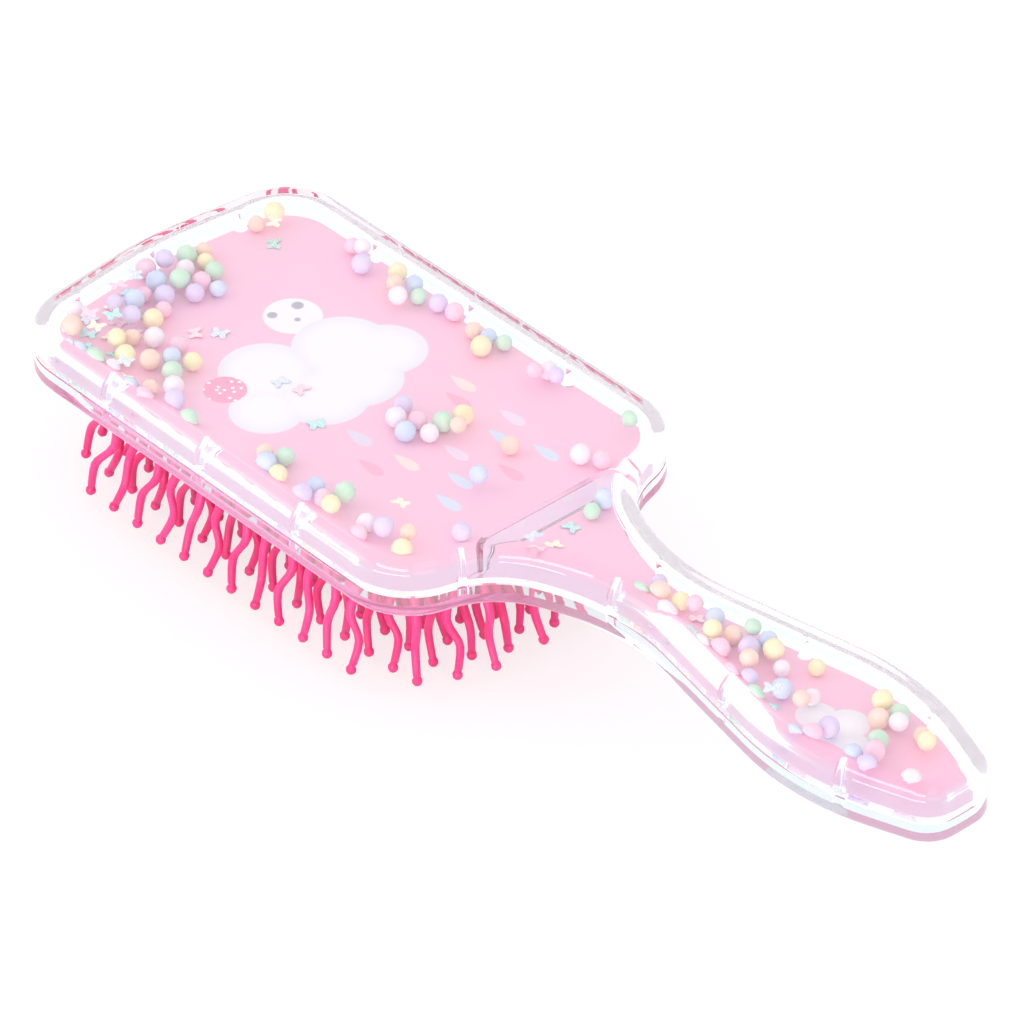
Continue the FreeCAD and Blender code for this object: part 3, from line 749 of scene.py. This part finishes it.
@dataclass
class AirCushion:
    """The rubber cushion: a shallow dome with a flange, a vent, and a collar round each pin."""

    corner_radius: float = 20 * MM
    flange_width: float = 0.9 * MM
    thickness: float = 1.2 * MM
    gap: float = 0.3 * MM
    shoulder: float = 14 * MM
    steps: int = 8
    corner_steps: int = 12
    vent_radius: float = 1.1 * MM
    collar_radius: float = 1.75 * MM
    collar_height: float = 0.45 * MM
    rubber: MouldedFinish = MouldedFinish(
        srgb(248, 158, 200), srgb(244, 142, 190), smooth=0.5, rubbed=0.65, grain=2.5, grain_height=0.05, specular=0.4,
        translucence=0.3, translucence_depth=2.0,
    )
    low: Vector = field(init=False)
    high: Vector = field(init=False)
    face_z: float = field(init=False)

    def __post_init__(self) -> None:
        """Reads the cushion's box and the case's underside."""
        self.low, self.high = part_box("cushion_pad")
        self.face_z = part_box("front_shell")[0].z

    @property
    def middle(self) -> Vector:
        """The cushion's middle, at the case's underside."""
        return Vector(((self.low.x + self.high.x) / 2, 0.0, self.face_z))

    @property
    def length(self) -> float:
        """The opening's length."""
        return self.high.x - self.low.x - 2 * self.flange_width

    @property
    def width(self) -> float:
        """The opening's width."""
        return self.high.y - self.low.y - 2 * self.flange_width

    @property
    def crown(self) -> float:
        """How far the dome bulges below the case."""
        return self.face_z - self.low.z

    def depth(self, x: float, y: float) -> float:
        """How far the dome bulges at a place.

        Args:
            x, y: The place.

        Returns:
            The depth below the case's underside.
        """
        dx = abs(x - self.middle.x) - (self.length / 2 - self.corner_radius)
        dy = abs(y) - (self.width / 2 - self.corner_radius)
        inset = self.corner_radius - math.hypot(max(dx, 0), max(dy, 0)) - min(max(dx, dy), 0) - self.gap
        share = min(inset / self.shoulder, 1.0)
        return self.crown * math.sqrt(1 - (1 - share) ** 2)

    def _dome(self) -> bmesh.types.BMesh:
        """The flange and the dome, as a sheet that is drawn down ring by ring."""
        bm = bmesh.new()
        flange_z = self.high.z - self.thickness
        size = Matrix.Diagonal(((self.high.x - self.low.x) / 2, (self.high.y - self.low.y) / 2, 1, 1))
        place = Matrix.Translation((self.middle.x, 0, flange_z)) @ Matrix.Rotation(math.pi, 4, "X") @ size
        bmesh.ops.create_grid(bm, x_segments=1, y_segments=1, size=1.0, matrix=place)
        bmesh.ops.bevel(
            bm, geom=list(bm.verts), offset=self.corner_radius + self.flange_width, offset_type="OFFSET",
            segments=self.corner_steps, profile=0.5, affect="VERTICES", material=-1,
        )
        bm.faces.ensure_lookup_table()
        face = max(bm.faces, key=lambda item: item.calc_area())
        moves = [(self.flange_width + self.gap, 0.0), (0.0, flange_z - self.face_z)]
        for step in range(self.steps):
            here, after = (math.pi / 2 * k / self.steps for k in (step, step + 1))
            across = self.shoulder * (math.cos(here) - math.cos(after))
            moves.append((across, self.crown * (math.sin(after) - math.sin(here))))
        for across, down in moves:
            bmesh.ops.inset_region(
                bm, faces=[face], thickness=across, depth=down, use_boundary=True, use_even_offset=True,
            )
        return bm

    def _collars(self, roots: Sequence[tuple[Vector, Vector]]) -> bmesh.types.BMesh:
        """A low moulded collar round the root of each pin.

        Args:
            roots: Each pin's root and the direction from it to the tip.
        """
        bm = bmesh.new()
        for root, axis in roots:
            turn = axis.to_track_quat("Z", "Y").to_matrix().to_4x4()
            place = Matrix.Translation(root + axis * (self.collar_height * 0.3)) @ turn
            bmesh.ops.create_cone(
                bm, cap_ends=True, segments=8, radius1=self.collar_radius, radius2=self.collar_radius * 0.72,
                depth=self.collar_height * 1.6, matrix=place,
            )
        return bm

    def build(self, effects: SharedEffects, roots: Sequence[tuple[Vector, Vector]]) -> None:
        """Models the cushion in place of its CAD solid.

        Args:
            effects: The shared node groups.
            roots: Each pin's root and the direction from it to the tip.
        """
        material = self.rubber.material("cushion_rubber", effects)
        cushion = make_piece(self._dome(), "cushion_dome", material)
        wall = cushion.modifiers.new("wall", "SOLIDIFY")
        wall.thickness = self.thickness
        # make_piece turns the open sheet's faces upwards, so this thickens it into the case
        wall.offset = 1.0
        cutter = self._vent_cutter()
        vent = cushion.modifiers.new("vent", "BOOLEAN")
        vent.object = cutter
        vent.operation = "DIFFERENCE"
        bpy.context.view_layer.update()
        depsgraph = bpy.context.evaluated_depsgraph_get()
        finished = bpy.data.meshes.new_from_object(cushion.evaluated_get(depsgraph))
        cushion.modifiers.clear()
        bpy.data.objects.remove(cutter)
        bm = bmesh.new()
        bm.from_mesh(finished)
        collars = self._collars(roots)
        extra = bpy.data.meshes.new("collars")
        collars.to_mesh(extra)
        collars.free()
        bm.from_mesh(extra)
        for face in bm.faces:
            face.smooth = True
        bm.to_mesh(cushion.data)
        bm.free()
        cushion.data.set_sharp_from_angle(angle=math.radians(40))
        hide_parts("cushion_pad")
        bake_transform(cushion)
        LOG.info("cushion_dome: %d faces", len(cushion.data.polygons))

    def _vent_cutter(self) -> bpy.types.Object:
        """The tool that cuts the vent beside the middle pin."""
        bm = bmesh.new()
        place = Matrix.Translation((self.middle.x + 3.24 * MM, 0, self.low.z))
        bmesh.ops.create_cone(
            bm, cap_ends=True, segments=24, radius1=self.vent_radius, radius2=self.vent_radius, depth=10 * MM,
            matrix=place,
        )
        mesh = bpy.data.meshes.new("vent_cutter")
        bm.to_mesh(mesh)
        bm.free()
        cutter = bpy.data.objects.new("vent_cutter", mesh)
        bpy.context.scene.collection.objects.link(cutter)
        return cutter


@dataclass
class Bristles:
    """The wavy ball-tipped pins, in lengthwise rows that each ride on their own body."""

    cushion: AirCushion
    row_pins: tuple[int, ...] = (17, 16, 17, 16, 15, 12)
    margin_x: float = 3.4 * MM
    margin_y: float = 3.75 * MM
    reach: float = 21 * MM
    root_radius: float = 1.08 * MM
    end_radius: float = 0.8 * MM
    tip_radius: float = 1.12 * MM
    head_radius: float = 1.65 * MM
    head_thickness: float = 0.8 * MM
    head_gap: float = 0.55 * MM
    lean: float = math.radians(16)
    wave: float = 1.15 * MM
    stations: tuple[float, float, float] = (0.12, 0.38, 0.66)
    sides: int = 8
    nylon: MouldedFinish = MouldedFinish(
        srgb(255, 62, 138), srgb(255, 84, 156), smooth=0.34, rubbed=0.5, grain=2.0, grain_height=0.03, specular=0.45,
        translucence=0.35, translucence_depth=1.5,
    )

    def axis(self, root: Vector) -> Vector:
        """The direction that a pin points along, from its root to its tip."""
        most = math.sin(self.lean)
        along = most * (root.x - self.cushion.middle.x) / (self.cushion.length / 2 - self.margin_x)
        share = root.y / (self.cushion.width / 2 - self.margin_y)
        across = most * math.copysign(share ** 2, share)
        return Vector((along, across, -math.sqrt(1 - along ** 2 - across ** 2)))

    def rows(self) -> Iterator[list[Vector]]:
        """The pins' roots, row by row from the near side to the far side."""
        outer = len(self.row_pins) - 1
        pitch_x = (self.cushion.length - 2 * self.margin_x) / (max(self.row_pins) - 1)
        pitch_y = (self.cushion.width / 2 - self.margin_y) / outer
        for row in range(-outer, outer + 1):
            pins = self.row_pins[abs(row)]
            roots = []
            for number in range(pins):
                x = self.cushion.middle.x + (number - (pins - 1) / 2) * pitch_x
                y = row * pitch_y
                roots.append(Vector((x, y, self.cushion.face_z - self.cushion.depth(x, y))))
            yield roots

    def sway(self, share: float) -> float:
        """How far the shaft swings aside at a share of its reach."""
        knots = [(0.0, 0.0), *zip(self.stations, (0.0, self.wave, -self.wave)), (1.0, 0.0)]
        for (low, start), (high, end) in zip(knots, knots[1:]):
            if share <= high:
                part = (share - low) / (high - low)
                return start + (end - start) * part * part * (3 - 2 * part)
        return 0.0

    def stations_down(self) -> list[tuple[float, float, float]]:
        """The pin's rings from head to tip, each as its sway, its height and its radius."""
        head = self.cushion.thickness + self.head_gap
        rings = [(0.0, head + self.head_thickness, self.head_radius), (0.0, head, self.head_radius)]
        rings.append((0.0, head, self.root_radius))
        shaft = [0.0, 0.12, 0.21, 0.3, 0.38, 0.46, 0.53, 0.6, 0.66, 0.74, 0.82, 0.9]
        taper = self.root_radius - self.end_radius
        rings += [(self.sway(share), -share * self.reach, self.root_radius - taper * share) for share in shaft]
        centre = self.tip_radius - self.reach
        for degrees in (50, 15, -20, -55):
            angle = math.radians(degrees)
            rings.append((0.0, centre + self.tip_radius * math.sin(angle), self.tip_radius * math.cos(angle)))
        return rings

    def _add_pin(self, bm: bmesh.types.BMesh, place: Matrix) -> None:
        """Sweeps one pin, ring by ring.

        Args:
            bm: The row's mesh.
            place: The pin's placement.
        """
        rings = self.stations_down()
        made = bmesh.ops.create_circle(bm, cap_ends=True, segments=self.sides, radius=1.0)
        verts = made["verts"]
        shape = [vert.co.copy() for vert in verts]
        edges = list({edge for vert in verts for edge in vert.link_edges})
        for number, (sway, height, radius) in enumerate(rings):
            if number:
                drawn = bmesh.ops.extrude_edge_only(bm, edges=edges)["geom"]
                edges = [item for item in drawn if isinstance(item, bmesh.types.BMEdge)]
                verts = self._matched(verts, drawn)
            for vert, unit in zip(verts, shape):
                vert.co = place @ Vector((unit.x * radius + sway, unit.y * radius, height))
        bmesh.ops.contextual_create(bm, geom=edges)

    def _matched(self, before: Sequence[bmesh.types.BMVert], drawn: Sequence[object]) -> list[bmesh.types.BMVert]:
        """The new ring's vertices in the old ring's order."""
        fresh = {item for item in drawn if isinstance(item, bmesh.types.BMVert)}
        return [
            next(edge.other_vert(vert) for edge in vert.link_edges if edge.other_vert(vert) in fresh)
            for vert in before
        ]

    def build(self, effects: SharedEffects) -> list[tuple[Vector, Vector]]:
        """Models every row in place of its CAD solids.

        Args:
            effects: The shared node groups.

        Returns:
            Each pin's root and the direction from it to the tip.
        """
        material = self.nylon.material("bristle_nylon_skin", effects)
        placed = []
        for row, roots in enumerate(self.rows(), start=1):
            bm = bmesh.new()
            for number, root in enumerate(roots):
                axis = self.axis(root)
                turn = math.radians(180.0 * (number % 2) + 35.0 * math.sin(2.3 * number + 1.7 * row))
                lean = Vector((0, 0, -1)).rotation_difference(axis)
                spin = Quaternion((0, 0, 1), turn)
                self._add_pin(bm, Matrix.Translation(root) @ (lean @ spin).to_matrix().to_4x4())
                placed.append((root, axis))
            name = f"bristle_row_{row:02d}"
            piece = make_piece(bm, f"{name}_pins", material)
            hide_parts(name)
            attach(piece, f"row_{row:02d}")
            LOG.info("%s: %d pins, %d faces", piece.name, len(roots), len(piece.data.polygons))
        return placed


# --- studio ---------------------------------------------------------------------------------------


@dataclass(frozen=True)
class Softbox:
    """One rectangular lamp that points at the brush."""

    name: str
    place: Colour
    width: float
    height: float
    watts: float
    colour: Colour = (1.0, 1.0, 1.0)


@dataclass
class Studio:
    """The floor, the surroundings, the lamps and the camera."""

    floor_size: float = 8.0
    shadow_share: float = 0.34
    glow: float = 0.72
    gloss_sky: float = 1.4
    soft_sky: float = 0.92
    low_sky: Colour = srgb(232, 224, 238)
    high_sky: Colour = srgb(255, 253, 255)
    sky_reach: float = 0.6
    bounces: int = 20
    layers: int = 40
    softboxes: tuple[Softbox, ...] = (
        Softbox("key_softbox", (-0.9, -0.9, 0.9), 0.8, 0.8, 2.4),
        Softbox("fill_softbox", (1.3, -0.5, 0.6), 0.8, 0.8, 2.0),
        Softbox("low_strip", (0.5, -1.2, 0.1), 1.2, 0.3, 7.0),
    )
    azimuth: float = math.radians(-42.395)
    elevation: float = math.radians(37.104)
    roll: float = math.radians(0.332)
    distance: float = 2.2135
    aim: Colour = (-0.004996, -0.0031405, 0.033084)
    lens: float = 396.7

    def build(self) -> None:
        """Sets up everything round the brush."""
        self._floor()
        self._surroundings()
        for softbox in self.softboxes:
            self._lamp(softbox)
        self._camera()
        paths = bpy.context.scene.cycles
        paths.max_bounces = paths.transmission_bounces = self.bounces
        paths.transparent_max_bounces = self.layers
        view = bpy.context.scene.view_settings
        view.view_transform = "Standard"
        LOG.info("studio ready")

    def _shown_share(self, board: NodeBoard) -> bpy.types.NodeSocket:
        """1 for rays that show the surroundings: from the camera, off gloss and through clear plastic."""
        path = board.add("LightPath").outputs
        seen = board.math("MAXIMUM", path["Is Camera Ray"], path["Is Glossy Ray"])
        return board.math("MAXIMUM", seen, path["Is Transmission Ray"])

    def _floor(self) -> None:
        """A pale floor that shows white and keeps a soft shadow."""
        material, board = new_material("studio_floor_white")
        plain = board.add("BsdfDiffuse", {"Color": (0.8, 0.8, 0.8, 1.0)})
        dim = board.add("BsdfDiffuse", {"Color": (*[self.shadow_share] * 3, 1.0)})
        glow = board.add("Emission", {"Color": (1.0, 1.0, 1.0, 1.0), "Strength": self.glow})
        shown = board.add("AddShader", {0: dim, 1: glow})
        both = board.add("MixShader", {0: self._shown_share(board), 1: plain, 2: shown})
        board.add("OutputMaterial", {"Surface": both})
        bm = bmesh.new()
        place = Matrix.Translation((0, 0, cad_low.z - 0.2 * MM))
        bmesh.ops.create_grid(bm, x_segments=1, y_segments=1, size=self.floor_size / 2, matrix=place)
        floor = make_piece(bm, "studio_floor", material, smooth=False)

    def _surroundings(self) -> None:
        """White for the camera and through clear plastic; for gloss a pale lavender that whitens upwards."""
        world = bpy.data.worlds.new("studio_surroundings")
        bpy.context.scene.world = world
        world.use_nodes = True
        board = NodeBoard(world.node_tree)
        height = board.add("SeparateXYZ", {0: board.add("TexCoord").outputs["Generated"]}).outputs[2]
        share = board.ramp(height, 0.0, self.sky_reach)
        sky = board.mix(share, opaque(self.low_sky), opaque(self.high_sky))
        soft = board.add("Background", {"Color": sky, "Strength": self.soft_sky})
        bright = board.add("Background", {"Color": sky, "Strength": self.gloss_sky})
        white = board.add("Background", {"Color": (1, 1, 1, 1), "Strength": 1.0})
        path = board.add("LightPath").outputs
        seen = board.math("MAXIMUM", path["Is Camera Ray"], path["Is Transmission Ray"])
        unseen = board.add("MixShader", {0: path["Is Glossy Ray"], 1: soft, 2: bright})
        board.add("OutputWorld", {"Surface": board.add("MixShader", {0: seen, 1: unseen, 2: white})})

    def _lamp(self, softbox: Softbox) -> None:
        """One softbox, turned to the brush."""
        data = bpy.data.lights.new(softbox.name, "AREA")
        data.shape = "RECTANGLE"
        data.size = softbox.width
        data.size_y = softbox.height
        data.energy = softbox.watts
        data.color = softbox.colour
        lamp = bpy.data.objects.new(softbox.name, data)
        lamp.location = softbox.place
        lamp.rotation_euler = (Vector(self.aim) - Vector(softbox.place)).to_track_quat("-Z", "Y").to_euler()
        bpy.context.scene.collection.objects.link(lamp)

    def _camera(self) -> None:
        """A long lens from above the handle's near side."""
        back = Vector((
            math.cos(self.elevation) * math.cos(self.azimuth), math.cos(self.elevation) * math.sin(self.azimuth),
            math.sin(self.elevation),
        ))
        right = Vector((0, 0, 1)).cross(back).normalized()
        up = back.cross(right)
        turn = Matrix((right, up, back)).transposed() @ Matrix.Rotation(self.roll, 3, "Z")
        data = bpy.data.cameras.new("product_camera")
        data.lens = self.lens
        data.clip_end = 20.0
        camera = bpy.data.objects.new("product_camera", data)
        camera.matrix_world = Matrix.Translation(Vector(self.aim) + back * self.distance) @ turn.to_4x4()
        bpy.context.scene.collection.objects.link(camera)
        bpy.context.scene.camera = camera


def main() -> None:
    """Builds the studio, then the brush from the case inwards."""
    logging.basicConfig(level=logging.INFO, format="%(message)s", stream=sys.stdout)
    effects = SharedEffects()
    Studio().build()
    ClearCase().dress(effects)
    Cards().dress(effects)
    for colour in FoamColour:
        FoamBeads(colour, seed=len(colour.name)).dress(effects)
    Confetti().dress(effects)
    cushion = AirCushion()
    roots = Bristles(cushion).build(effects)
    cushion.build(effects, roots)


if __name__ == "__main__":
    main()
